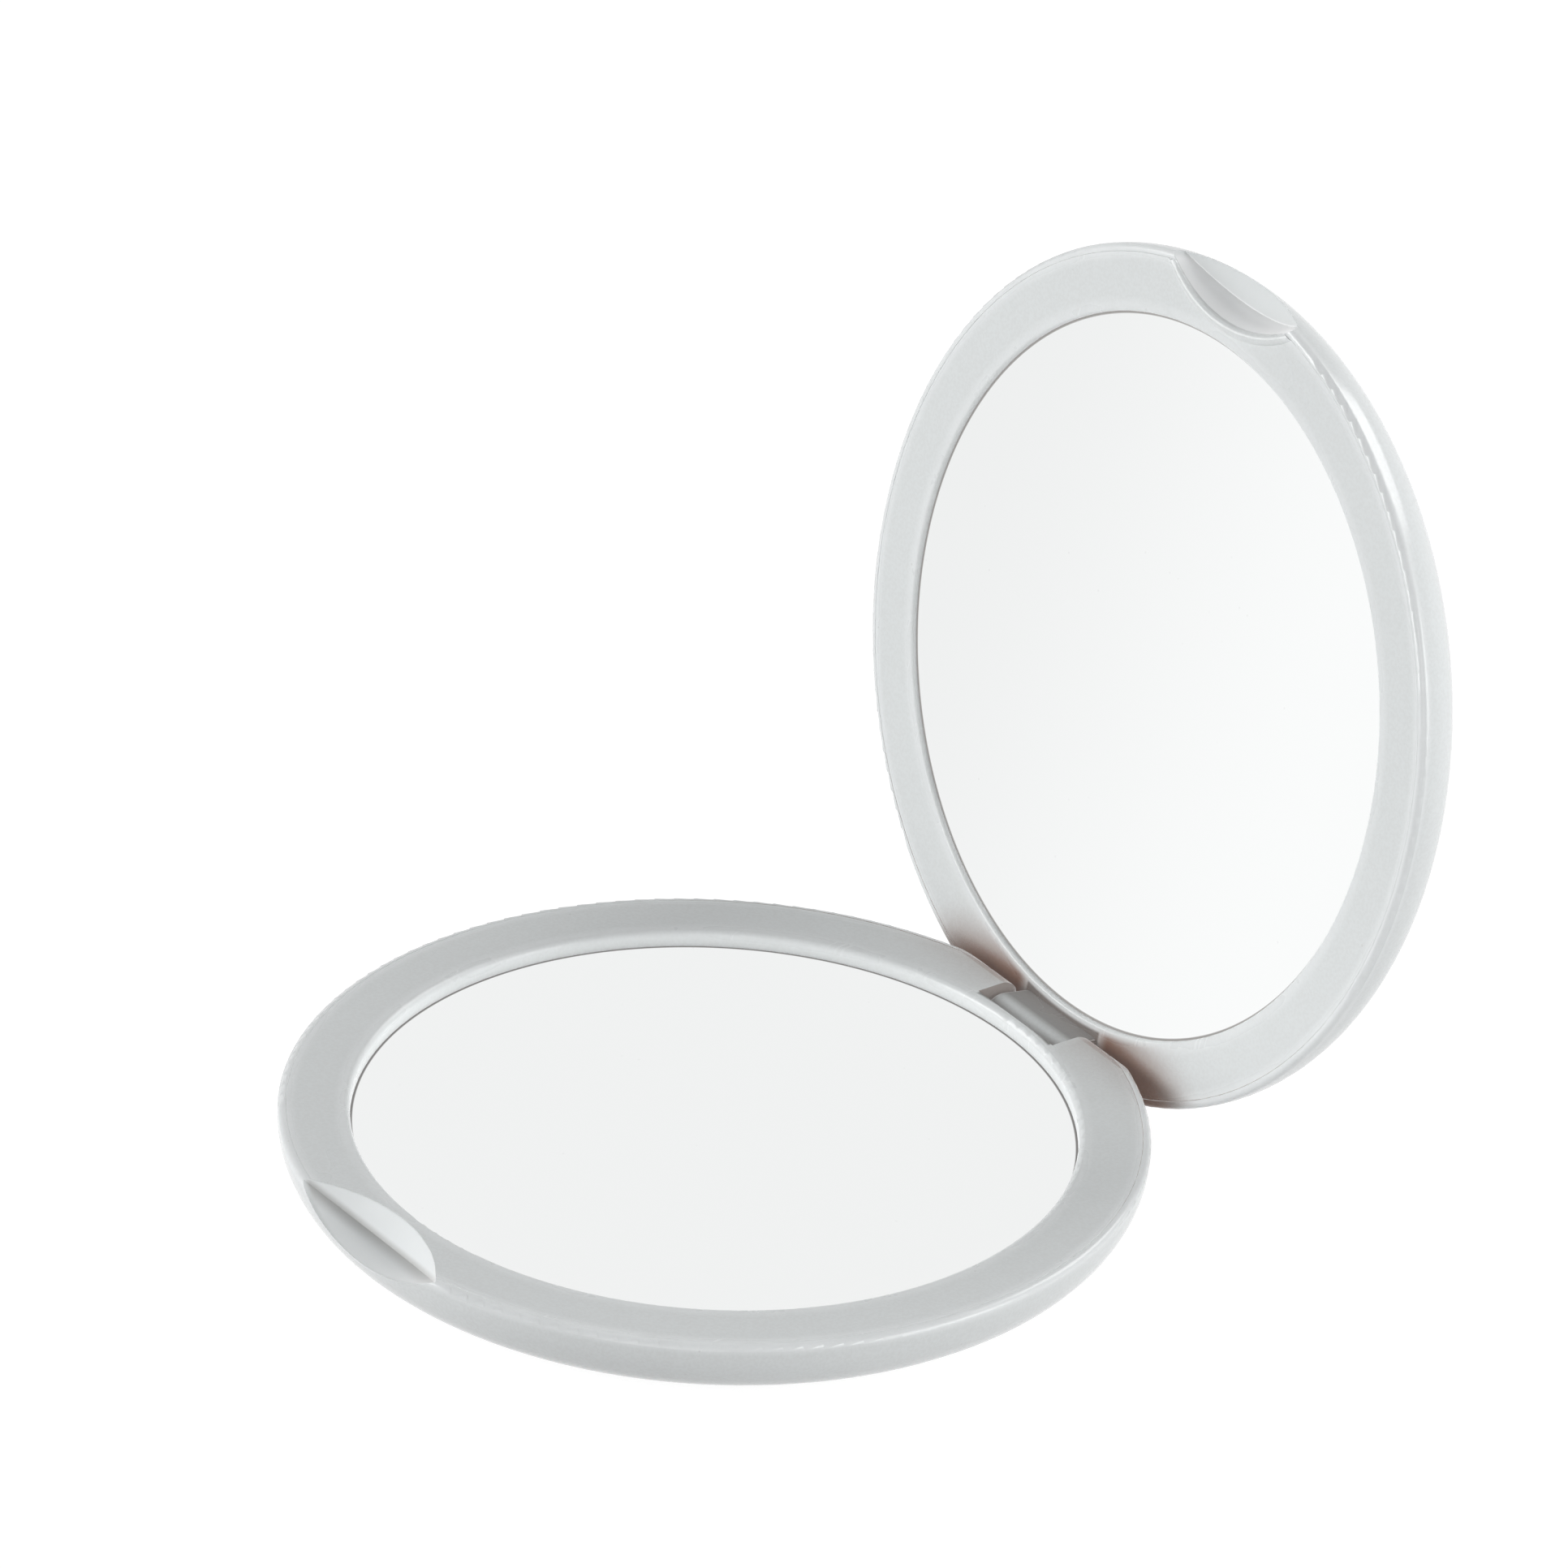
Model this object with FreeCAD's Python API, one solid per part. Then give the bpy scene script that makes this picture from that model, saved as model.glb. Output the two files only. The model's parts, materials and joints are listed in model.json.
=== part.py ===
import FreeCAD, Part
import math
import os

# Round folding compact mirror, drawn open. Two moulded halves meet rim to rim on a pin hinge at the back.
# Each half is a dished cover, a rim frame snapped into it, a glass mirror under the frame and foam tape.
# All lengths are millimetres. The origin is the middle of the base's underside, +Z up, the hinge along X.

# Both halves
body_diameter = 70.0
half_thickness = 5.9
wall = 1.5
back_round = 5.3
rim_round = 0.5
rim_lip = 0.65
closing_gap = 0.2
open_angle = 101.0
overrun = 1.0

# Rim frames, snapped into the covers
frame_fit = 0.02
frame_plate = 1.0
frame_edge_round = 0.03
snap_bead_radius = 0.1
snap_bead_drop = 0.55
snap_clearance = 0.04
base_rim_width = 5.8
base_opening_round = 0.5
lid_rim_width = 5.5
lid_opening_round = 0.25

# Mirrors and the foam tape that beds them
mirror_lap = 0.6
mirror_edge_bevel = 0.2
glass_step_gap = 0.3
base_mirror_drop = 1.35
base_glass = 2.0
lid_mirror_drop = 0.45
lid_glass = 2.4
tape_inset = 1.5

# Hinge: a tongue on the lid frame turns on a steel pin cradled in two ears of the base cover
mirror_hinge_gap = 0.25
hinge_drop = 2.26
pin_diameter = 1.2
pin_running_gap = 0.05
pin_cradle_gap = 0.02
pin_end_gap = 0.2
barrel_radius = 1.65
tongue_width = 9.6
tongue_end_round = 0.35
tongue_root_depth = 0.4
tongue_seat_gap = 0.05
notch_side_gap = 0.25
notch_front_gap = 0.4
notch_floor_gap = 0.45
notch_corner_round = 1.2
ear_length = 3.2
ear_end_wall = 1.3
ear_front = 1.6
ear_top_gap = 0.05
keeper_gap = 0.06
rear_relief_gap = 0.15

# Thumb scallops at the front, and the crescent lip that the lid's one carries
scallop_width = 18.7
scallop_mirror_gap = 0.23
scallop_depth = 2.5
scallop_wall_draft = 20.0
scallop_block_margin = 1.2
scallop_block_gap = 0.15
lip_radius = 0.5
lip_tilt = 9.0
lip_clearance = 0.25
lip_trim = 0.1

# Closing magnets, bar-shaped, glued under the frame plates either side of the scallops
magnet_length = 5.0
magnet_width = 1.6
magnet_height = 1.2
magnet_wall_gap = 0.1
magnet_block_gap = 0.8

# Gate mark left by moulding in the middle of the lid's outer face
gate_mark_diameter = 1.2
gate_mark_depth = 0.12

# Derived sizes
V = FreeCAD.Vector
ORIGIN = V(0, 0, 0)
UP = V(0, 0, 1)
ACROSS = V(1, 0, 0)
BACKWARD = V(0, 1, 0)
radius = body_diameter / 2
rim = half_thickness
seat_radius = radius - rim_lip
frame_radius = seat_radius - frame_fit
plate_under = rim - frame_plate
back_centre_radius = radius - back_round
cavity_round = back_round - wall
base_opening = radius - base_rim_width
lid_opening = radius - lid_rim_width
larger_opening = max(base_opening, lid_opening)
mirror_radius = larger_opening + mirror_lap
lid_step_radius = mirror_radius + glass_step_gap
snap_height = rim - snap_bead_drop
hinge_y = mirror_radius + mirror_hinge_gap + barrel_radius
hinge_z = rim - hinge_drop
lid_hinge_z = rim + closing_gap + hinge_drop
pin_radius = pin_diameter / 2
notch_half = tongue_width / 2 + notch_side_gap
notch_front = hinge_y - barrel_radius - notch_front_gap
scallop_half = scallop_width / 2
block_half_sweep = math.degrees(math.asin((scallop_half + scallop_block_margin) / radius))
lid_scallop_inset = lip_clearance + 2 * lip_radius - lip_trim
closing_tolerance_share = 1e-6
closing_tolerance = closing_tolerance_share * body_diameter
arc_middle_share = 1 - math.sqrt(0.5)


def line(start, end):
    return Part.LineSegment(start, end).toShape()


def on_arc(centre_r, centre_z, arc_radius, degrees):
    turn = math.radians(degrees)
    return V(centre_r + arc_radius * math.cos(turn), 0, centre_z + arc_radius * math.sin(turn))


def arc(centre_r, centre_z, arc_radius, first, last):
    middle = (first + last) / 2
    spots = [on_arc(centre_r, centre_z, arc_radius, turn) for turn in (first, middle, last)]
    return Part.Arc(*spots).toShape()


def chain(edges):
    """Joins lines and arcs end to end, closes the outline and returns it as a face."""
    joined = []
    for edge in edges:
        if joined and (joined[-1].lastVertex().Point - edge.firstVertex().Point).Length > closing_tolerance:
            joined.append(line(joined[-1].lastVertex().Point, edge.firstVertex().Point))
        joined.append(edge)
    joined.append(line(joined[-1].lastVertex().Point, joined[0].firstVertex().Point))
    return Part.Face(Part.Wire(joined))


def turned(face, sweep=360.0, start=0.0):
    solid = face.revolve(ORIGIN, UP, sweep)
    solid.rotate(ORIGIN, UP, start)
    return solid


def box(x_low, x_high, y_low, y_high, z_low, z_high):
    return Part.makeBox(x_high - x_low, y_high - y_low, z_high - z_low, V(x_low, y_low, z_low))


def rod(rod_radius, x_low, x_high, y, z):
    return Part.makeCylinder(rod_radius, x_high - x_low, V(x_low, y, z), ACROSS)


# Covers: a dish with a soft outer edge, a ledge that the frame rests on and a thin snap lip round the frame
def cover():
    groove = snap_bead_radius + snap_clearance
    ledge_turn = -math.degrees(math.asin(max(0, back_round - plate_under) / cavity_round))
    ledge_end = on_arc(back_centre_radius, back_round, cavity_round, ledge_turn)
    outline = chain(
        [
            line(ORIGIN, V(back_centre_radius, 0, 0)),
            arc(back_centre_radius, back_round, back_round, -90, 0),
            arc(radius - rim_round, rim - rim_round, rim_round, 0, 90),
            line(V(radius - rim_round, 0, rim), V(seat_radius, 0, rim)),
            arc(seat_radius, snap_height, groove, 90, -90),
            line(V(seat_radius, 0, plate_under), V(ledge_end.x, 0, plate_under)),
            arc(back_centre_radius, back_round, cavity_round, ledge_turn, -90),
            line(V(back_centre_radius, 0, wall), V(0, 0, wall)),
        ]
    )
    return turned(outline)


def cover_envelope():
    """The cover's outside as a full solid, to trim what is moulded onto the inside of its wall."""
    outline = chain(
        [
            line(ORIGIN, V(back_centre_radius, 0, 0)),
            arc(back_centre_radius, back_round, back_round, -90, 0),
            arc(radius - rim_round, rim - rim_round, rim_round, 0, 90),
            line(V(radius - rim_round, 0, rim), V(0, 0, rim)),
        ]
    )
    return turned(outline)


# Frames: a flat ring with a rounded opening, a skirt or step that holds the glass and a snap bead
def frame(opening, opening_round, mirror_drop, skirt_radius):
    skirt_foot = rim - mirror_drop
    outline = chain(
        [
            line(V(opening, 0, skirt_foot), V(opening, 0, rim - opening_round)),
            arc(opening + opening_round, rim - opening_round, opening_round, 180, 90),
            arc(frame_radius - frame_edge_round, rim - frame_edge_round, frame_edge_round, 90, 0),
            arc(frame_radius, snap_height, snap_bead_radius, 90, -90),
            line(V(frame_radius, 0, plate_under), V(skirt_radius, 0, plate_under)),
            line(V(skirt_radius, 0, plate_under), V(skirt_radius, 0, skirt_foot)),
        ]
    )
    return turned(outline)


def scallop_plan():
    """Radius and centre of the scallop's inner edge, seen from above."""
    inner = mirror_radius + scallop_mirror_gap
    reach = math.sqrt(radius**2 - scallop_half**2) - inner
    plan_radius = (scallop_half**2 + reach**2) / (2 * reach)
    return plan_radius, -inner - plan_radius


def scallop_cutter(plan_inset=0.0):
    """Thumb scallop: a drafted back wall, curved in plan, over a floor that rises to nothing at both tips."""
    plan_radius, centre_y = scallop_plan()
    lean = math.tan(math.radians(scallop_wall_draft))
    low = rim - scallop_depth - overrun
    high = rim + overrun
    edge = plan_radius - plan_inset
    foot = edge - (rim - low) * lean
    back_wall = Part.makeCone(foot, edge + overrun * lean, high - low, V(0, centre_y, low), UP)
    floor_radius = (scallop_half**2 + scallop_depth**2) / (2 * scallop_depth)
    floor_axis = V(0, -radius - overrun, rim - scallop_depth + floor_radius)
    return back_wall.common(Part.makeCylinder(floor_radius, radius, floor_axis, BACKWARD))


def frame_cutout(plan_inset=0.0):
    """Opening in the frame's edge, so that the whole scallop is moulded in the cover."""
    plan_radius, centre_y = scallop_plan()
    low = plate_under - overrun
    return Part.makeCylinder(plan_radius - plan_inset, rim + overrun - low, V(0, centre_y, low), UP)


def scallop_block(skirt_radius, plan_inset=0.0):
    """Solid backing moulded inside the cover's wall; its top fills the frame's cut-out."""
    plan_radius, centre_y = scallop_plan()
    inner = skirt_radius + scallop_block_gap
    section = chain(
        [
            line(V(inner, 0, wall / 2), V(radius, 0, wall / 2)),
            line(V(radius, 0, plate_under), V(inner, 0, plate_under)),
        ]
    )
    outside = cover_envelope()
    lower = turned(section, 2 * block_half_sweep, -90 - block_half_sweep).common(outside)
    edge = plan_radius - plan_inset - frame_fit
    upper = Part.makeCylinder(edge, frame_plate, V(0, centre_y, plate_under), UP).common(outside)
    return [lower, upper]


def crescent_lip():
    """Bead along the lid scallop's inner edge, sinking to nothing at its tips; it shuts inside the base's."""
    plan_radius, centre_y = scallop_plan()
    bead_radius = plan_radius - lip_clearance - lip_radius
    bead = Part.makeTorus(bead_radius, lip_radius, V(0, centre_y, rim), UP)
    bead.rotate(V(0, centre_y + bead_radius, rim), ACROSS, lip_tilt)
    reach = frame_radius - 2 * frame_edge_round
    return bead.common(Part.makeCylinder(reach, 2 * lip_radius, V(0, 0, rim - lip_radius), UP))


# Hinge cuts in the base: the tongue's notch, and the rear edge rounded about the pin so the lid clears it
def tongue_notch():
    outer_y = math.sqrt(radius**2 - (notch_half + notch_corner_round) ** 2)
    corner_y = outer_y - notch_corner_round
    far_y = radius + overrun
    flare = notch_half + notch_corner_round
    lean = notch_corner_round * arc_middle_share
    edges = [
        line(V(-notch_half, notch_front, 0), V(-notch_half, corner_y, 0)),
        Part.Arc(
            V(-notch_half, corner_y, 0), V(-notch_half - lean, outer_y - lean, 0), V(-flare, outer_y, 0)
        ).toShape(),
        line(V(-flare, outer_y, 0), V(-flare, far_y, 0)),
        line(V(-flare, far_y, 0), V(flare, far_y, 0)),
        line(V(flare, far_y, 0), V(flare, outer_y, 0)),
        Part.Arc(
            V(flare, outer_y, 0), V(notch_half + lean, outer_y - lean, 0), V(notch_half, corner_y, 0)
        ).toShape(),
        line(V(notch_half, corner_y, 0), V(notch_half, notch_front, 0)),
        line(V(notch_half, notch_front, 0), V(-notch_half, notch_front, 0)),
    ]
    notch_floor = hinge_z - barrel_radius - notch_floor_gap
    solid = Part.Face(Part.Wire(edges)).extrude(V(0, 0, rim + overrun - notch_floor))
    solid.translate(V(0, 0, notch_floor))
    return solid


def about_pin(shape, degrees):
    placed = shape.copy()
    placed.rotate(V(0, hinge_y, hinge_z), ACROSS, degrees)
    return placed


def rear_relief():
    """Rounds the base's rear edge about the pin, then lets it fall away at the open lid's slant."""
    kept = hinge_drop + closing_gap - rear_relief_gap
    far_y = radius + overrun
    barrel = rod(kept, -radius - overrun, radius + overrun, hinge_y, hinge_z)
    corner = box(-radius, radius, hinge_y, far_y, hinge_z, rim + overrun)
    slant_top = hinge_z + kept
    slant = box(-radius, radius, hinge_y, far_y, slant_top, slant_top + far_y - hinge_y)
    return [corner.cut(barrel), about_pin(corner, 90 - open_angle).cut(barrel), about_pin(slant, -open_angle)]


def ears():
    """Two bosses moulded inside the base cover's wall, each with an upward-open cradle for the pin."""
    cradle = pin_radius + pin_cradle_gap
    top = plate_under - ear_top_gap
    outside = cover_envelope()
    made = []
    for near in (notch_half, -notch_half - ear_length - ear_end_wall):
        boss = box(near, near + ear_length + ear_end_wall, hinge_y - ear_front, radius, wall / 2, top)
        made.append(boss.common(outside))
    slots = []
    for near in (notch_half - overrun, -notch_half - ear_length):
        far = near + ear_length + overrun
        slots.append(rod(cradle, near, far, hinge_y, hinge_z))
        slots.append(box(near, far, hinge_y - cradle, hinge_y + cradle, hinge_z, rim))
    return made, slots


def keepers():
    """Pegs under the base frame that close the cradles over the pin."""
    half = pin_radius - keeper_gap
    foot = hinge_z + pin_radius + keeper_gap
    made = []
    for near in (notch_half + keeper_gap, -notch_half - ear_length + keeper_gap):
        far = near + ear_length - 2 * keeper_gap
        made.append(box(near, far, hinge_y - half, hinge_y + half, foot, plate_under + frame_plate / 2))
    return made


# Base half
def base_cover():
    bosses, slots = ears()
    solid = cover().fuse([*bosses, *scallop_block(mirror_radius)])
    return solid.cut([tongue_notch(), *rear_relief(), scallop_cutter(), *slots]).removeSplitter()


def base_frame():
    solid = frame(base_opening, base_opening_round, base_mirror_drop, mirror_radius)
    inside_wall = Part.makeCylinder(back_centre_radius + cavity_round - keeper_gap, rim)
    solid = solid.fuse([peg.common(inside_wall) for peg in keepers()])
    return solid.cut([tongue_notch(), *rear_relief(), frame_cutout()]).removeSplitter()


# Lid half, drawn rim up like the base and turned into place at the end
def tongue():
    half = tongue_width / 2
    front = hinge_y - barrel_radius
    back = hinge_y + barrel_radius
    barrel = rod(barrel_radius, -half, half, hinge_y, lid_hinge_z)
    web = box(-half, half, front, back, rim + tongue_seat_gap, lid_hinge_z)
    solid = barrel.fuse(web).removeSplitter()
    seat = rim + tongue_seat_gap
    at_ends = [edge for edge in solid.Edges if edge.BoundBox.XLength < closing_tolerance]
    rounded = [edge for edge in at_ends if edge.BoundBox.ZMax > seat + closing_tolerance]
    solid = solid.makeFillet(tongue_end_round, rounded)
    root_back = min(back, math.sqrt(frame_radius**2 - half**2) - frame_fit)
    root_half = half - tongue_end_round
    root = box(-root_half, root_half, front, root_back, rim - tongue_root_depth, seat + barrel_radius / 2)
    return solid.fuse(root)


def lid_frame():
    solid = frame(lid_opening, lid_opening_round, lid_mirror_drop, lid_step_radius)
    bore = rod(pin_radius + pin_running_gap, -radius, radius, hinge_y, lid_hinge_z)
    solid = solid.fuse([crescent_lip(), tongue()])
    return solid.cut([bore, frame_cutout(lid_scallop_inset)]).removeSplitter()


def lid_cover():
    gate = Part.makeCone(gate_mark_diameter / 2, 0, gate_mark_depth, ORIGIN, UP)
    solid = cover().fuse(scallop_block(lid_step_radius, lid_scallop_inset))
    return solid.cut([scallop_cutter(lid_scallop_inset), gate]).removeSplitter()


# Pieces that both halves have
def mirror(drop, glass):
    face = rim - drop
    flat_radius = mirror_radius - mirror_edge_bevel
    outline = chain(
        [
            line(V(0, 0, face - glass), V(mirror_radius, 0, face - glass)),
            line(V(mirror_radius, 0, face - mirror_edge_bevel), V(flat_radius, 0, face)),
            line(V(flat_radius, 0, face), V(0, 0, face)),
        ]
    )
    return turned(outline)


def tape(drop, glass):
    return Part.makeCylinder(mirror_radius - tape_inset, rim - drop - glass - wall, V(0, 0, wall))


def magnets():
    half = magnet_length / 2
    low = plate_under - magnet_height
    wall_inside = back_centre_radius + math.sqrt(cavity_round**2 - (back_round - low) ** 2)
    near = math.sqrt(wall_inside**2 - half**2) - magnet_wall_gap - magnet_width
    aside = block_half_sweep + math.degrees(math.asin((half + magnet_block_gap) / near))
    bars = []
    for side in (-1, 1):
        bar = box(-half, half, -near - magnet_width, -near, low, plate_under)
        bar.rotate(ORIGIN, UP, side * aside)
        bars.append(bar)
    return Part.makeCompound(bars)


def hinge_pin():
    half = notch_half + ear_length - pin_end_gap
    return rod(pin_radius, -half, half, hinge_y, hinge_z)


def onto_base_open(shape):
    """Turns a lid piece over, sets it on the base and opens it about the hinge pin."""
    placed = shape.copy()
    placed.rotate(ORIGIN, BACKWARD, 180)
    placed.translate(V(0, 0, 2 * rim + closing_gap))
    return about_pin(placed, -open_angle)


pieces = {
    "base_cover": base_cover(),
    "base_frame": base_frame(),
    "base_mirror": mirror(base_mirror_drop, base_glass),
    "base_mirror_tape": tape(base_mirror_drop, base_glass),
    "base_magnets": magnets(),
    "hinge_pin": hinge_pin(),
    "lid_cover": onto_base_open(lid_cover()),
    "lid_frame": onto_base_open(lid_frame()),
    "lid_mirror": onto_base_open(mirror(lid_mirror_drop, lid_glass)),
    "lid_mirror_tape": onto_base_open(tape(lid_mirror_drop, lid_glass)),
    "lid_magnets": onto_base_open(magnets()),
}
os.makedirs("parts", exist_ok=True)
for name, shape in pieces.items():
    shape.exportStep(f"parts/{name}.step")
    bounds = shape.BoundBox
    print(
        f"{name}: solids {len(shape.Solids)}, valid {shape.isValid()}, volume {shape.Volume:.2f}, "
        f"y {bounds.YMin:.2f} to {bounds.YMax:.2f}, z {bounds.ZMin:.3f} to {bounds.ZMax:.2f}"
    )
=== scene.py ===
import json
import math

import bpy
from mathutils import Matrix, Vector


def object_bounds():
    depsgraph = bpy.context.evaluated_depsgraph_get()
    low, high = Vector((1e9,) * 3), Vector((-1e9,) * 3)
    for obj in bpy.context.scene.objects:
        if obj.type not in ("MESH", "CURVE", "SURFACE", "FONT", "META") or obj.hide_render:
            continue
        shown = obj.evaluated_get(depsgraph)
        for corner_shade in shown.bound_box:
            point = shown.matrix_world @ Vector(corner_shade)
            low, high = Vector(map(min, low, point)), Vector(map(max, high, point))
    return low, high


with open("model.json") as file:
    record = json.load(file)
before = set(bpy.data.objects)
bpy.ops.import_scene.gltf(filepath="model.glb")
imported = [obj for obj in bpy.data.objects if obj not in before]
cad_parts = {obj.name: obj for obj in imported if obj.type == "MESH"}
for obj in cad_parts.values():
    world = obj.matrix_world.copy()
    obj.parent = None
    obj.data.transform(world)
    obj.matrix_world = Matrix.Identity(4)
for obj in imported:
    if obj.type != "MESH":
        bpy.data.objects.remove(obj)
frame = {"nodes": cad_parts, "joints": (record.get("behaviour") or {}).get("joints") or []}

cad_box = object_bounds()
scene = bpy.context.scene
scene.view_settings.view_transform = "Standard"


# Base cover: the dished lower shell of the compact, a single injection moulding in pale grey-white ABS.
# Its outside was cut in a polished steel tool, so it is glossy with a trace of orange peel; handling has
# scuffed it hair-fine and buffed the thumb scallop. A painted highlight runs round its rim edge, and painted
# shade darkens the scallop's crease and the corner at the hinge.
def place(tree, kind, settings=None, **inputs):
    made = tree.nodes.new(kind)
    for name, value in (settings or {}).items():
        setattr(made, name, value)
    for name, value in inputs.items():
        socket = made.inputs[name.replace("_", " ")]
        if isinstance(value, bpy.types.NodeSocket):
            tree.links.new(value, socket)
        else:
            socket.default_value = value
    return made


def reckon(tree, operation, *terms):
    made = tree.nodes.new("ShaderNodeMath")
    made.operation = operation
    for socket, term in zip(made.inputs, terms):
        if isinstance(term, bpy.types.NodeSocket):
            tree.links.new(term, socket)
        else:
            socket.default_value = term
    return made.outputs[0]


def ramp_between(tree, value, low, high, low_out=0.0, high_out=1.0):
    made = place(tree, "ShaderNodeMapRange", {"interpolation_type": "SMOOTHSTEP"}, Value=value)
    made.inputs["From Min"].default_value = low
    made.inputs["From Max"].default_value = high
    made.inputs["To Min"].default_value = low_out
    made.inputs["To Max"].default_value = high_out
    return made.outputs["Result"]


def new_group(name, inputs, outputs):
    group = bpy.data.node_groups.new(name, "ShaderNodeTree")
    for label, kind, value in inputs:
        socket = group.interface.new_socket(name=label, in_out="INPUT", socket_type=kind)
        if value is not None:
            socket.default_value = value
    for label, kind in outputs:
        group.interface.new_socket(name=label, in_out="OUTPUT", socket_type=kind)
    return group, group.nodes.new("NodeGroupInput").outputs, group.nodes.new("NodeGroupOutput").inputs


def use_group(tree, group, **inputs):
    return place(tree, "ShaderNodeGroup", {"node_tree": group}, **inputs).outputs


def half_position():
    """Distance from a half's own centre line and height over its outer face, in metres."""
    group, given, out = new_group(
        "half_position",
        [("Point", "NodeSocketVector", None)],
        [("Reach", "NodeSocketFloat"), ("Height", "NodeSocketFloat")],
    )
    parts = place(group, "ShaderNodeSeparateXYZ", Vector=given["Point"]).outputs
    square = reckon(group, "ADD", reckon(group, "MULTIPLY", parts["X"], parts["X"]),
                    reckon(group, "MULTIPLY", parts["Y"], parts["Y"]))
    group.links.new(reckon(group, "SQRT", square), out["Reach"])
    group.links.new(parts["Z"], out["Height"])
    return group


def moulded_skin():
    """Moulded plastic's surface: faint flow clouding, fine grain, orange peel, hairline scuffs and settled dust."""
    group, given, out = new_group(
        "moulded_skin",
        [("Point", "NodeSocketVector", None), ("Peel Size", "NodeSocketFloat", 0.0006)],
        [("Cloud", "NodeSocketFloat"), ("Grain", "NodeSocketFloat"), ("Peel", "NodeSocketFloat"),
         ("Scuff", "NodeSocketFloat"), ("Dust", "NodeSocketFloat")],
    )
    cloud = place(group, "ShaderNodeTexNoise", Vector=given["Point"], Scale=70.0, Detail=3.0, Roughness=0.55)
    group.links.new(cloud.outputs["Fac"], out["Cloud"])
    grain = place(group, "ShaderNodeTexNoise", Vector=given["Point"], Scale=3600.0, Detail=1.0, Roughness=0.4)
    group.links.new(ramp_between(group, grain.outputs["Fac"], 0.3, 0.7), out["Grain"])
    peel_scale = reckon(group, "DIVIDE", 1.0, given["Peel Size"])
    peel = place(group, "ShaderNodeTexNoise", Vector=given["Point"], Scale=peel_scale, Detail=2.0, Roughness=0.5)
    group.links.new(peel.outputs["Fac"], out["Peel"])
    marks = []
    for turn, stretch in ((0.5, 26.0), (1.9, 34.0), (2.7, 22.0)):
        drawn = place(group, "ShaderNodeMapping", Vector=given["Point"], Rotation=(0.3, 0.2, turn),
                      Scale=(stretch * 90.0, 70.0, 90.0))
        streak = place(group, "ShaderNodeTexNoise", Vector=drawn.outputs["Vector"], Scale=1.0, Detail=1.0)
        marks.append(ramp_between(group, streak.outputs["Fac"], 0.70, 0.76))
    scuff = reckon(group, "MAXIMUM", reckon(group, "MAXIMUM", marks[0], marks[1]), marks[2])
    where = place(group, "ShaderNodeTexNoise", Vector=given["Point"], Scale=45.0, Detail=2.0)
    group.links.new(
        reckon(group, "MULTIPLY", scuff, ramp_between(group, where.outputs["Fac"], 0.45, 0.65)), out["Scuff"]
    )
    speck = place(group, "ShaderNodeTexVoronoi", Vector=given["Point"], Scale=900.0, Randomness=1.0)
    lone = place(group, "ShaderNodeSeparateColor", Color=speck.outputs["Color"]).outputs["Red"]
    near = ramp_between(group, speck.outputs["Distance"], 0.05, 0.12, 1.0, 0.0)
    group.links.new(reckon(group, "MULTIPLY", near, ramp_between(group, lone, 0.93, 0.95)), out["Dust"])
    return group


def edge_rub_and_highlight():
    """Soft band round an edge at a given reach and height, broken into patches: a painted highlight where it tints
    the colour, and handling's rub where it changes the roughness.
    """
    group, given, out = new_group(
        "edge_rub_and_highlight",
        [("Point", "NodeSocketVector", None), ("Reach", "NodeSocketFloat", 0.0), ("Height", "NodeSocketFloat", 0.0),
         ("Edge Reach", "NodeSocketFloat", 0.0), ("Edge Height", "NodeSocketFloat", 0.0),
         ("Width", "NodeSocketFloat", 0.0006)],
        [("Rub", "NodeSocketFloat")],
    )
    across = reckon(group, "SUBTRACT", given["Reach"], given["Edge Reach"])
    over = reckon(group, "SUBTRACT", given["Height"], given["Edge Height"])
    away = reckon(group, "SQRT", reckon(group, "ADD", reckon(group, "MULTIPLY", across, across),
                                        reckon(group, "MULTIPLY", over, over)))
    near = ramp_between(group, reckon(group, "DIVIDE", away, given["Width"]), 0.3, 1.0, 1.0, 0.0)
    breaks = place(group, "ShaderNodeTexNoise", Vector=given["Point"], Scale=260.0, Detail=4.0, Roughness=0.65)
    patchy = ramp_between(group, breaks.outputs["Fac"], 0.25, 0.75, 0.6, 1.0)
    group.links.new(reckon(group, "MULTIPLY", near, patchy), out["Rub"])
    return group


def painted_corner_shade():
    """Painted shade: how deep a point lies in the corner where the halves meet at the hinge, from ambient occlusion
    near the rim face.
    """
    group, given, out = new_group(
        "painted_corner_shade",
        [("Point", "NodeSocketVector", None), ("Reach", "NodeSocketFloat", 0.0), ("Span", "NodeSocketFloat", 0.010)],
        [("Depth", "NodeSocketFloat")],
    )
    nook = place(group, "ShaderNodeAmbientOcclusion", {"samples": 8}, Distance=given["Span"]).outputs["AO"]
    parts = place(group, "ShaderNodeSeparateXYZ", Vector=given["Point"]).outputs
    by_hinge = ramp_between(group, parts["Y"], 0.014, 0.030)
    beside_tongue = ramp_between(group, reckon(group, "ABSOLUTE", parts["X"]), 0.0042, 0.0062, 0.25, 1.0)
    hidden = ramp_between(group, nook, 0.40, 0.97, 1.0, 0.0)
    outside_glass = ramp_between(group, given["Reach"], 0.0296, 0.0303)
    near_rim = ramp_between(group, parts["Z"], 0.0015, 0.0045)
    away = reckon(group, "MULTIPLY", reckon(group, "MULTIPLY", by_hinge, beside_tongue), outside_glass)
    group.links.new(reckon(group, "MULTIPLY", reckon(group, "MULTIPLY", hidden, near_rim), away), out["Depth"])
    return group


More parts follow.
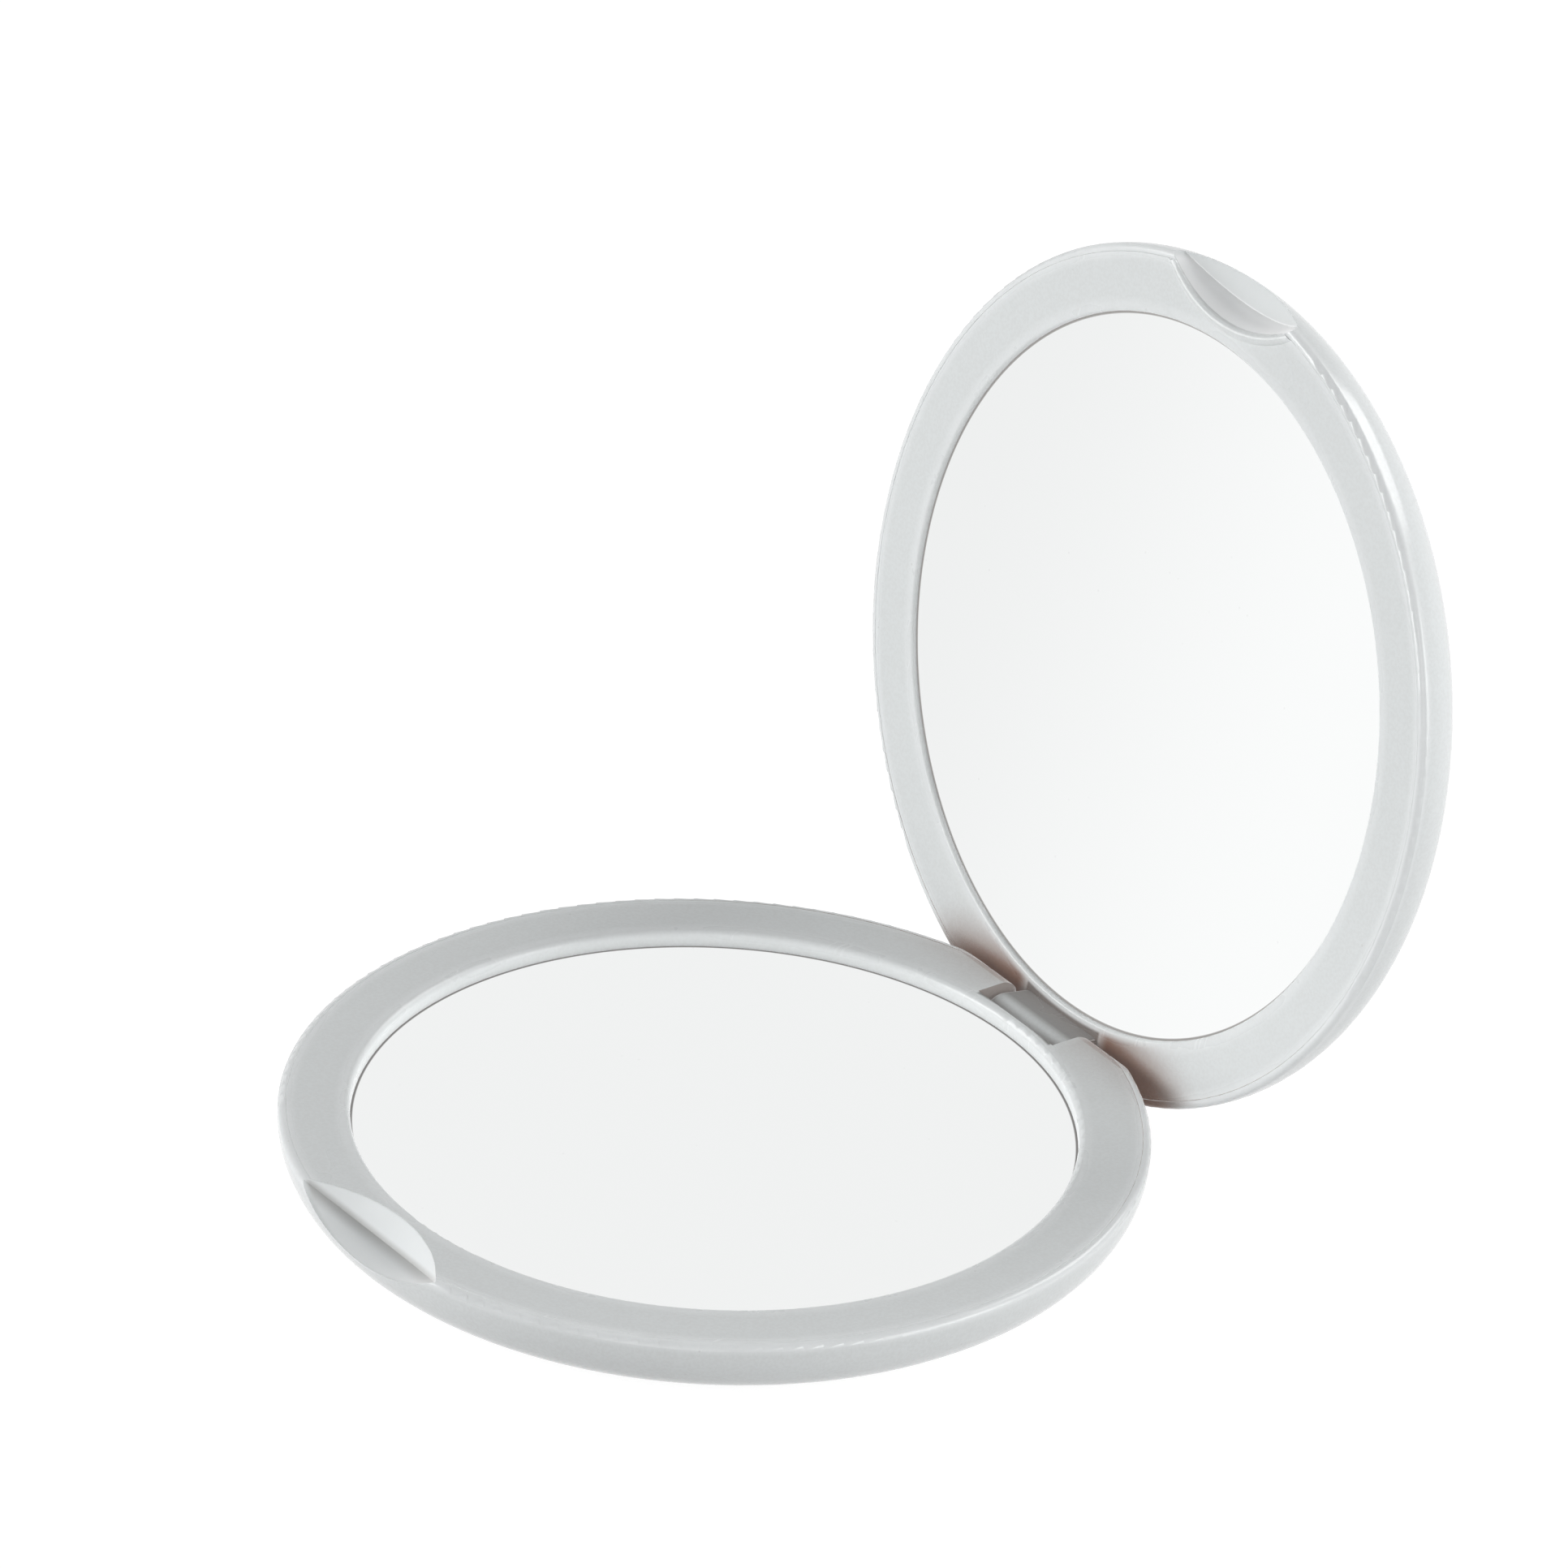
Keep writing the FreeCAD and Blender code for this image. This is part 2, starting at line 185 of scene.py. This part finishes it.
def thumb_scallop():
    """Masks for the scallop's leaning back wall, which thumbs buff paler and the lid paints near white as painted
    light, its hollow floor, and the crease between them, which takes painted shade.
    """
    group, given, out = new_group(
        "thumb_scallop",
        [("Point", "NodeSocketVector", None), ("Reach", "NodeSocketFloat", 0.0),
         ("Edge Radius", "NodeSocketFloat", 0.0146)],
        [("Wall", "NodeSocketFloat"), ("Floor", "NodeSocketFloat"), ("Crease", "NodeSocketFloat")],
    )
    parts = place(group, "ShaderNodeSeparateXYZ", Vector=given["Point"]).outputs
    front = ramp_between(group, parts["Y"], -0.0302, -0.0298, 1.0, 0.0)
    within = ramp_between(group, reckon(group, "ABSOLUTE", parts["X"]), 0.0086, 0.0096, 1.0, 0.0)
    below = ramp_between(group, parts["Z"], 0.00575, 0.00590, 1.0, 0.0)
    inside = ramp_between(group, given["Reach"], 0.0344, 0.0349, 1.0, 0.0)
    across = reckon(group, "MULTIPLY", parts["X"], parts["X"])
    ahead = reckon(group, "ADD", parts["Y"], scallop_axis_ahead)
    plan = reckon(group, "SQRT", reckon(group, "ADD", across, reckon(group, "MULTIPLY", ahead, ahead)))
    depth = reckon(group, "SUBTRACT", half_thickness, parts["Z"])
    lean = reckon(group, "MULTIPLY", depth, scallop_wall_lean)
    off_wall = reckon(group, "SUBTRACT", reckon(group, "SUBTRACT", given["Edge Radius"], lean), plan)
    dip = reckon(group, "SQRT", reckon(group, "SUBTRACT", scallop_floor_radius ** 2, across))
    over_floor = reckon(group, "SUBTRACT", reckon(group, "ADD", dip, scallop_depth - scallop_floor_radius), depth)
    above = ramp_between(group, over_floor, -0.0003, -0.0001)
    along = reckon(group, "MULTIPLY", front, within)
    deep = reckon(group, "MULTIPLY", below, above)
    zone = reckon(group, "MULTIPLY", reckon(group, "MULTIPLY", along, deep), inside)
    wall = ramp_between(group, off_wall, 0.00006, 0.00016, 1.0, 0.0)
    floor = reckon(group, "SUBTRACT", 1.0, wall)
    up_wall = reckon(group, "MULTIPLY", wall, ramp_between(group, over_floor, 0.0, 0.0006, 1.0, 0.0))
    out_floor = reckon(group, "MULTIPLY", floor, ramp_between(group, off_wall, 0.0, 0.0015, 1.0, 0.0))
    wear = place(group, "ShaderNodeTexNoise", Vector=given["Point"], Scale=300.0, Detail=3.0).outputs["Fac"]
    worn = reckon(group, "MULTIPLY", zone, ramp_between(group, wear, 0.1, 0.6, 0.8, 1.0))
    group.links.new(reckon(group, "MULTIPLY", worn, wall), out["Wall"])
    group.links.new(reckon(group, "MULTIPLY", worn, floor), out["Floor"])
    group.links.new(reckon(group, "MULTIPLY", worn, reckon(group, "ADD", up_wall, out_floor)), out["Crease"])
    return group


half_thickness = 0.0059
body_radius = 0.035
closing_gap = 0.0002
scallop_depth = 0.0025
scallop_floor_radius = 0.018734
scallop_axis_ahead = 0.04489
scallop_wall_lean = 0.364
position_group = half_position()
skin_group = moulded_skin()
rub_and_highlight_group = edge_rub_and_highlight()
corner_shade_group = painted_corner_shade()
scallop_group = thumb_scallop()
hinge_place = Vector(frame["joints"][0]["pos_m"])
open_turn = math.radians(101.0)


def base_point(tree):
    return place(tree, "ShaderNodeTexCoord").outputs["Object"]


def lid_point(tree):
    """The same point with the lid closed and turned rim up, so both halves read alike."""
    shut = Matrix.Rotation(open_turn, 3, "X")
    over = Matrix.Rotation(math.pi, 3, "Y")
    turn = over @ shut
    shift = over @ (hinge_place - shut @ hinge_place) + Vector((0.0, 0.0, 2 * half_thickness + closing_gap))
    return place(tree, "ShaderNodeMapping", Vector=base_point(tree), Rotation=turn.to_euler("XYZ"),
                 Location=shift).outputs["Vector"]


def new_material(name):
    material = bpy.data.materials.new(name)
    material.use_nodes = True
    tree = material.node_tree
    return material, tree, tree.nodes["Principled BSDF"]


def mixed(tree, factor, first, second):
    made = place(tree, "ShaderNodeMix", {"data_type": "RGBA"})
    for index, value in ((0, factor), (6, first), (7, second)):
        if isinstance(value, bpy.types.NodeSocket):
            tree.links.new(value, made.inputs[index])
        else:
            made.inputs[index].default_value = value
    return made.outputs[2]


cover_tint = (0.692, 0.718, 0.722, 1.0)
cover_flow_tint = (0.712, 0.737, 0.740, 1.0)
# Painted highlight: the paler tint of the band round the rim edges and the opening's edge.
edge_highlight_tint = (0.810, 0.832, 0.838, 1.0)
buffed_tint = (0.800, 0.825, 0.830, 1.0)
# Painted shade along the thumb scallop's crease.
crease_shade_tint = (0.300, 0.290, 0.272, 1.0)
dust_tint = (0.42, 0.41, 0.39, 1.0)
# Painted shade: the brown-dark tint laid into the corner at the hinge.
corner_shade_tint = (0.170, 0.058, 0.016, 1.0)
abs_ior = 1.52
rim_edge_reach = body_radius - 0.0002
rounded_edge_height = half_thickness - 0.0001
grain_share = 0.10
edge_highlight_share = 0.85
scuff_depth = 0.15
cloud_roughness = 0.10
scuff_roughness = 0.06
cover_dust_share = 0.25
cover_roughness = 0.13
cover_rub_roughness = 0.06
buffed_smoothness = 0.05


def cover_plastic(name, point_of, corner_shade_span, scallop_edge, wall_buff_and_light_tint, floor_tint, crease_shade_share):
    material, tree, surface = new_material(name)
    point = point_of(tree)
    spot = use_group(tree, position_group, Point=point)
    skin = use_group(tree, skin_group, Point=point, Peel_Size=0.0011)
    rub_and_highlight = use_group(tree, rub_and_highlight_group, Point=point, Reach=spot["Reach"], Height=spot["Height"],
                    Edge_Reach=rim_edge_reach, Edge_Height=rounded_edge_height, Width=0.0009)["Rub"]
    colour = mixed(tree, skin["Cloud"], cover_tint, cover_flow_tint)
    colour = mixed(tree, reckon(tree, "MULTIPLY", skin["Grain"], grain_share), colour, dust_tint)
    # Painted highlight round the rim edge.
    colour = mixed(tree, reckon(tree, "MULTIPLY", rub_and_highlight, edge_highlight_share), colour, edge_highlight_tint)
    scallop = use_group(tree, scallop_group, Point=point, Reach=spot["Reach"], Edge_Radius=scallop_edge)
    # Scallop wall paler: thumb buffing on the base, and painted light on the lid.
    colour = mixed(tree, scallop["Wall"], colour, wall_buff_and_light_tint)
    colour = mixed(tree, scallop["Floor"], colour, floor_tint)
    # Painted shade along the scallop's crease.
    colour = mixed(tree, reckon(tree, "MULTIPLY", scallop["Crease"], crease_shade_share), colour, crease_shade_tint)
    colour = mixed(tree, reckon(tree, "MULTIPLY", skin["Dust"], cover_dust_share), colour, dust_tint)
    # Painted shade in the corner at the hinge.
    corner_shade = use_group(tree, corner_shade_group, Point=point, Reach=spot["Reach"], Span=corner_shade_span)["Depth"]
    colour = mixed(tree, corner_shade, colour, corner_shade_tint)
    tree.links.new(colour, surface.inputs["Base Color"])
    rough = reckon(tree, "ADD", reckon(tree, "MULTIPLY", skin["Cloud"], cloud_roughness), cover_roughness)
    rough = reckon(tree, "ADD", rough, reckon(tree, "MULTIPLY", skin["Scuff"], scuff_roughness))
    rough = reckon(tree, "ADD", rough, reckon(tree, "MULTIPLY", rub_and_highlight, cover_rub_roughness))
    rough = reckon(tree, "SUBTRACT", rough, reckon(tree, "MULTIPLY", scallop["Wall"], buffed_smoothness))
    tree.links.new(rough, surface.inputs["Roughness"])
    height = reckon(tree, "SUBTRACT", skin["Peel"], reckon(tree, "MULTIPLY", skin["Scuff"], scuff_depth))
    bump = place(tree, "ShaderNodeBump", Strength=0.05, Distance=0.00012, Height=height)
    tree.links.new(bump.outputs["Normal"], surface.inputs["Normal"])
    surface.inputs["IOR"].default_value = abs_ior
    return material


def dress(node_name, material):
    """Gives a piece its finish and keeps it out of reflections, so that the mirrors show the plain white room."""
    piece = frame["nodes"][node_name]
    for slot in piece.material_slots:
        slot.material = material
    piece.visible_glossy = False


dress("base_cover", cover_plastic(
    "base_cover_plastic", base_point, corner_shade_span=0.005, scallop_edge=0.014563,
    wall_buff_and_light_tint=buffed_tint, floor_tint=buffed_tint, crease_shade_share=0.55,
))


# Foam tape: a disc of closed-cell foam, sticky on both faces, that beds the glass on the cover's floor.
# It is charcoal grey and matt, die-cut from sheet, and shut away behind the mirror.
foam_tint = (0.03, 0.03, 0.032, 1.0)
foam_cell_tint = (0.075, 0.075, 0.08, 1.0)
foam_roughness = 0.82


def foam(name, point_of):
    material, tree, surface = new_material(name)
    cells = place(tree, "ShaderNodeTexVoronoi", Vector=point_of(tree), Scale=2600.0)
    tone = ramp_between(tree, cells.outputs["Distance"], 0.1, 0.6)
    tree.links.new(mixed(tree, tone, foam_tint, foam_cell_tint), surface.inputs["Base Color"])
    bump = place(tree, "ShaderNodeBump", Strength=0.4, Distance=0.0001, Height=tone)
    tree.links.new(bump.outputs["Normal"], surface.inputs["Normal"])
    rough = reckon(tree, "ADD", reckon(tree, "MULTIPLY", tone, 0.1), foam_roughness)
    tree.links.new(rough, surface.inputs["Roughness"])
    return material


dress("base_mirror_tape", foam("base_foam_tape", base_point))


# Base mirror: a round of float glass, silvered and painted on the back, that the frame's rim laps over.
# It is flat and clean but for a breath of finger haze, with a thin line of painted shade on the glass just inside
# the frame's edge.
silver_tint = (0.872, 0.882, 0.880, 1.0)
# Painted shade: the dark line on the glass where the frame's edge meets it.
base_edge_shade_tint = (0.21, 0.205, 0.20, 1.0)
base_opening_radius = 0.0292
edge_line_start = 0.00026
edge_line_full = 0.00014
edge_line_roughness = 0.3
glass_dust_share = 0.10
glass_roughness = 0.012
smear_roughness = 0.035


def silvered_glass(name, point_of, opening_radius, edge_shade_tint):
    material, tree, surface = new_material(name)
    point = point_of(tree)
    spot = use_group(tree, position_group, Point=point)
    skin = use_group(tree, skin_group, Point=point)
    edge = ramp_between(tree, spot["Reach"], opening_radius - edge_line_start, opening_radius - edge_line_full)
    haze = place(tree, "ShaderNodeTexNoise", Vector=point, Scale=38.0, Detail=4.0, Roughness=0.6, Distortion=0.8)
    smear = ramp_between(tree, haze.outputs["Fac"], 0.52, 0.78)
    colour = mixed(tree, reckon(tree, "MULTIPLY", skin["Dust"], glass_dust_share), silver_tint, dust_tint)
    # Painted shade line just inside the frame's edge.
    tree.links.new(mixed(tree, edge, colour, edge_shade_tint), surface.inputs["Base Color"])
    rough = reckon(tree, "ADD", reckon(tree, "MULTIPLY", smear, smear_roughness), glass_roughness)
    rough = reckon(tree, "ADD", rough, reckon(tree, "MULTIPLY", edge, edge_line_roughness))
    tree.links.new(rough, surface.inputs["Roughness"])
    surface.inputs["Metallic"].default_value = 1.0
    return material


dress("base_mirror", silvered_glass("base_silvered_glass", base_point, base_opening_radius, base_edge_shade_tint))


# Closing magnets: small nickel-plated bars glued into the underside of each frame beside the scallop.
# The plating is bright with a slight pebble; they are out of sight once the frames are in.
nickel_tint = (0.55, 0.54, 0.52, 1.0)
nickel_bright_tint = (0.66, 0.65, 0.63, 1.0)
nickel_roughness = 0.2


def plated_nickel(name, point_of):
    material, tree, surface = new_material(name)
    pebble = place(tree, "ShaderNodeTexNoise", Vector=point_of(tree), Scale=1800.0, Detail=2.0).outputs["Fac"]
    tree.links.new(mixed(tree, pebble, nickel_tint, nickel_bright_tint), surface.inputs["Base Color"])
    rough = reckon(tree, "ADD", reckon(tree, "MULTIPLY", pebble, 0.15), nickel_roughness)
    tree.links.new(rough, surface.inputs["Roughness"])
    surface.inputs["Metallic"].default_value = 1.0
    return material


dress("base_magnets", plated_nickel("base_plated_nickel", base_point))


# Base frame: the flat rim ring that snaps into the cover and shows all round the mirror, same ABS.
# Its tool was only fine-stoned, so it is a shade duller than the cover, and handling rubs it smoother at the rim
# where the halves meet and at the opening's rounded edge, which both carry a painted highlight; the lid's tongue,
# where it turns in the notch, and the corner at the hinge are darkened with painted shade.
frame_tint = (0.690, 0.717, 0.719, 1.0)
frame_flow_tint = (0.710, 0.735, 0.737, 1.0)
# Painted shade: the dark tint of the lid's tongue where it turns in the notch.
tongue_shade_tint = (0.130, 0.126, 0.118, 1.0)
tongue_front = (0.0299, 0.0302)
tongue_side = (0.0047, 0.0050)
tongue_crown = (half_thickness + 0.0020, half_thickness + 0.0033)
tongue_shade_share = 0.9
lip_rub_and_highlight_share = 0.6
frame_dust_share = 0.30
frame_roughness = 0.24
frame_rub_smoothness = 0.04


def frame_plastic(name, point_of, opening_radius, opening_round, corner_shade_span):
    material, tree, surface = new_material(name)
    point = point_of(tree)
    spot = use_group(tree, position_group, Point=point)
    skin = use_group(tree, skin_group, Point=point, Peel_Size=0.0005)
    rim_rub_and_highlight = use_group(tree, rub_and_highlight_group, Point=point, Reach=spot["Reach"], Height=spot["Height"],
                        Edge_Reach=rim_edge_reach, Edge_Height=half_thickness, Width=0.0014)["Rub"]
    lip_rub_and_highlight = use_group(tree, rub_and_highlight_group, Point=point, Reach=spot["Reach"], Height=spot["Height"],
                        Edge_Reach=opening_radius + 0.6 * opening_round, Edge_Height=rounded_edge_height,
                        Width=0.0012)["Rub"]
    rub_and_highlight = reckon(tree, "MAXIMUM", rim_rub_and_highlight, reckon(tree, "MULTIPLY", lip_rub_and_highlight, lip_rub_and_highlight_share))
    colour = mixed(tree, skin["Cloud"], frame_tint, frame_flow_tint)
    colour = mixed(tree, reckon(tree, "MULTIPLY", skin["Grain"], grain_share), colour, dust_tint)
    # Painted highlight round the rim edge and the opening's rounded edge.
    colour = mixed(tree, reckon(tree, "MULTIPLY", rub_and_highlight, edge_highlight_share), colour, edge_highlight_tint)
    colour = mixed(tree, reckon(tree, "MULTIPLY", skin["Dust"], frame_dust_share), colour, dust_tint)
    parts = place(tree, "ShaderNodeSeparateXYZ", Vector=point).outputs
    tongue_shade = reckon(tree, "MULTIPLY", ramp_between(tree, spot["Reach"], *tongue_front),
                 ramp_between(tree, spot["Height"], *tongue_crown, 1.0, 0.0))
    hinge_side = reckon(tree, "MULTIPLY", ramp_between(tree, parts["Y"], 0.024, 0.028),
                        ramp_between(tree, reckon(tree, "ABSOLUTE", parts["X"]), *tongue_side, 1.0, 0.0))
    tongue_shade = reckon(tree, "MULTIPLY", reckon(tree, "MULTIPLY", tongue_shade, hinge_side), tongue_shade_share)
    # Painted shade on the lid's tongue.
    colour = mixed(tree, tongue_shade, colour, tongue_shade_tint)
    # Painted shade in the corner at the hinge.
    corner_shade = use_group(tree, corner_shade_group, Point=point, Reach=spot["Reach"], Span=corner_shade_span)["Depth"]
    colour = mixed(tree, corner_shade, colour, corner_shade_tint)
    tree.links.new(colour, surface.inputs["Base Color"])
    rough = reckon(tree, "ADD", reckon(tree, "MULTIPLY", skin["Cloud"], cloud_roughness), frame_roughness)
    rough = reckon(tree, "ADD", rough, reckon(tree, "MULTIPLY", skin["Scuff"], scuff_roughness))
    rough = reckon(tree, "SUBTRACT", rough, reckon(tree, "MULTIPLY", rub_and_highlight, frame_rub_smoothness))
    tree.links.new(rough, surface.inputs["Roughness"])
    height = reckon(tree, "SUBTRACT", skin["Peel"], reckon(tree, "MULTIPLY", skin["Scuff"], scuff_depth))
    bump = place(tree, "ShaderNodeBump", Strength=0.10, Distance=0.00010, Height=height)
    tree.links.new(bump.outputs["Normal"], surface.inputs["Normal"])
    surface.inputs["IOR"].default_value = abs_ior
    return material


dress("base_frame", frame_plastic(
    "base_frame_plastic", base_point, base_opening_radius, opening_round=0.0005, corner_shade_span=0.010,
))


# Hinge pin: a cut length of drawn steel wire lying in the base cover's two cradles.
# Drawing leaves fine lines along it; only a sliver of bare steel shows in the slits beside the tongue.
steel_tint = (0.40, 0.40, 0.41, 1.0)
steel_bright_tint = (0.56, 0.56, 0.57, 1.0)
steel_roughness = 0.22


def drawn_steel(name, point_of):
    material, tree, surface = new_material(name)
    along = place(tree, "ShaderNodeMapping", Vector=point_of(tree), Scale=(60.0, 5200.0, 5200.0))
    lines = place(tree, "ShaderNodeTexNoise", Vector=along.outputs["Vector"], Scale=1.0, Detail=3.0).outputs["Fac"]
    tree.links.new(mixed(tree, lines, steel_tint, steel_bright_tint), surface.inputs["Base Color"])
    rough = reckon(tree, "ADD", reckon(tree, "MULTIPLY", lines, 0.2), steel_roughness)
    tree.links.new(rough, surface.inputs["Roughness"])
    bump = place(tree, "ShaderNodeBump", Strength=0.2, Distance=0.00003, Height=lines)
    tree.links.new(bump.outputs["Normal"], surface.inputs["Normal"])
    surface.inputs["Metallic"].default_value = 1.0
    return material


dress("hinge_pin", drawn_steel("pin_steel", base_point))


# Lid: the upper half, made as the base is, of cover, tape, glass, magnets and frame.
# Its frame carries the hinge tongue and the crescent lip; its scallop's crease takes less painted shade than the
# base's, and its scallop's leaning wall is painted near white as painted light.
# Painted light: the lid scallop's leaning wall is painted near white, far paler than the cover.
lid_wall_light_tint = (0.930, 0.945, 0.950, 1.0)
lid_floor_tint = (0.725, 0.750, 0.753, 1.0)
lid_edge_shade_tint = (0.30, 0.29, 0.28, 1.0)
lid_opening_radius = 0.0295
lid_corner_shade_span = 0.0045
dress("lid_cover", cover_plastic(
    "lid_cover_plastic", lid_point, lid_corner_shade_span, scallop_edge=0.013413,
    wall_buff_and_light_tint=lid_wall_light_tint, floor_tint=lid_floor_tint, crease_shade_share=0.1,
))
dress("lid_mirror_tape", foam("lid_foam_tape", lid_point))
dress("lid_mirror", silvered_glass("lid_silvered_glass", lid_point, lid_opening_radius, lid_edge_shade_tint))
dress("lid_magnets", plated_nickel("lid_plated_nickel", lid_point))
dress("lid_frame", frame_plastic(
    "lid_frame_plastic", lid_point, lid_opening_radius, opening_round=0.00025, corner_shade_span=lid_corner_shade_span,
))


# Table: a wide sheet of matt white board, which keeps the compact's soft shadow.
# To the camera it reads as the same plain white as the room behind it; in reflections it glows, a little brighter
# along one side than the other.
board_tint = (0.64, 0.64, 0.64, 1.0)
board_fibre_tint = (0.67, 0.67, 0.67, 1.0)
white_light = (1.0, 1.0, 1.0, 1.0)
left_glow = 0.985
right_glow = 1.10
camera_glow = 1.2
camera_glow_share = 0.78


def white_table():
    material, tree, surface = new_material("white_board")
    surface.inputs["Roughness"].default_value = 0.9
    surface.inputs["Specular IOR Level"].default_value = 0.1
    fibre = place(tree, "ShaderNodeTexNoise", Vector=base_point(tree), Scale=400.0, Detail=3.0).outputs["Fac"]
    tree.links.new(mixed(tree, fibre, board_tint, board_fibre_tint), surface.inputs["Base Color"])
    spot = place(tree, "ShaderNodeSeparateXYZ", Vector=base_point(tree)).outputs
    across = reckon(tree, "SUBTRACT", spot["X"], spot["Y"])
    path = place(tree, "ShaderNodeLightPath").outputs
    strength = place(tree, "ShaderNodeMix", {"data_type": "FLOAT"})
    tree.links.new(path["Is Camera Ray"], strength.inputs[0])
    tree.links.new(ramp_between(tree, across, -0.075, -0.010, left_glow, right_glow), strength.inputs[2])
    strength.inputs[3].default_value = camera_glow
    glow = place(tree, "ShaderNodeEmission", Color=white_light, Strength=strength.outputs[0])
    seen = reckon(tree, "MAXIMUM", path["Is Glossy Ray"], path["Is Transmission Ray"])
    seen = reckon(tree, "MAXIMUM", seen, reckon(tree, "MULTIPLY", path["Is Camera Ray"], camera_glow_share))
    blend = tree.nodes.new("ShaderNodeMixShader")
    tree.links.new(seen, blend.inputs[0])
    tree.links.new(surface.outputs[0], blend.inputs[1])
    tree.links.new(glow.outputs[0], blend.inputs[2])
    tree.links.new(blend.outputs[0], tree.nodes["Material Output"].inputs["Surface"])
    return material


table_half = 3.0
table_clearance = 0.00002
table_mesh = bpy.data.meshes.new("table")
table_mesh.from_pydata(
    [(-table_half, -table_half, 0.0), (table_half, -table_half, 0.0),
     (table_half, table_half, 0.0), (-table_half, table_half, 0.0)],
    [], [(0, 1, 2, 3)],
)
table_mesh.materials.append(white_table())
table = bpy.data.objects.new("table", table_mesh)
scene.collection.objects.link(table)
table.location.z = min(0.0, cad_box[0][2]) - table_clearance


# Room: a pale studio, brighter round the walls than overhead, seen by the camera as plain white.
# Wide soft boxes stand low to the left and right and behind the lid, with a weak one by the camera.
wall_glow = 0.58
overhead_glow = 0.08


def studio_room():
    world = bpy.data.worlds.new("studio")
    world.use_nodes = True
    tree = world.node_tree
    scene.world = world
    sight = place(tree, "ShaderNodeTexCoord").outputs["Generated"]
    up = place(tree, "ShaderNodeSeparateXYZ", Vector=sight).outputs["Z"]
    overhead = ramp_between(tree, up, 0.35, 0.85, wall_glow, overhead_glow)
    path = place(tree, "ShaderNodeLightPath").outputs
    seen = reckon(tree, "MAXIMUM", path["Is Camera Ray"], path["Is Glossy Ray"])
    seen = reckon(tree, "MAXIMUM", seen, path["Is Transmission Ray"])
    strength = place(tree, "ShaderNodeMix", {"data_type": "FLOAT"})
    tree.links.new(seen, strength.inputs[0])
    tree.links.new(overhead, strength.inputs[2])
    strength.inputs[3].default_value = 1.0
    tree.links.new(strength.outputs[0], tree.nodes["Background"].inputs["Strength"])
    tree.nodes["Background"].inputs["Color"].default_value = white_light


def soft_box(name, place_at, aim, size, power):
    lamp = bpy.data.lights.new(name, "AREA")
    lamp.shape = "RECTANGLE"
    lamp.size, lamp.size_y = size
    lamp.energy = power
    box = bpy.data.objects.new(name, lamp)
    scene.collection.objects.link(box)
    box.location = place_at
    box.rotation_euler = (Vector(aim) - Vector(place_at)).to_track_quat("-Z", "Y").to_euler()


studio_room()
compact_middle = (0.0, 0.02, 0.02)
lid_middle = (0.0, 0.04, 0.04)
soft_box("left_soft_box", (-0.48, -0.68, 0.26), compact_middle, (0.6, 0.4), 4.3)
soft_box("right_soft_box", (0.80, 0.42, 0.26), compact_middle, (0.5, 0.5), 3.1)
soft_box("back_soft_box", (0.05, 0.72, 0.62), lid_middle, (0.5, 0.5), 3.6)
soft_box("front_soft_box", (0.72, -0.56, 0.42), compact_middle, (0.5, 0.5), 1.25)


# Camera: the fitted viewpoint, a long lens from the front right and a little above.
# Its place and directions come from the outlines of both halves; the image is 1932 pixels square.
image_width = 1932.0
focal_pixels = 20000.0
sensor_width = 36.0
camera_data = bpy.data.cameras.new("camera")
camera_data.sensor_width = sensor_width
camera_data.lens = focal_pixels / image_width * sensor_width
camera = bpy.data.objects.new("camera", camera_data)
scene.collection.objects.link(camera)
camera_place = Vector((0.887919, -0.674365, 0.672485))
camera_right = Vector((0.584234, 0.810069, 0.049591))
camera_down = Vector((0.427393, -0.255146, -0.867315))
camera_ahead = Vector((-0.689932, 0.527910, -0.495283))
camera_turn = Matrix((camera_right, -camera_down, -camera_ahead)).transposed()
camera.matrix_world = Matrix.LocRotScale(camera_place, camera_turn, None)
scene.camera = camera
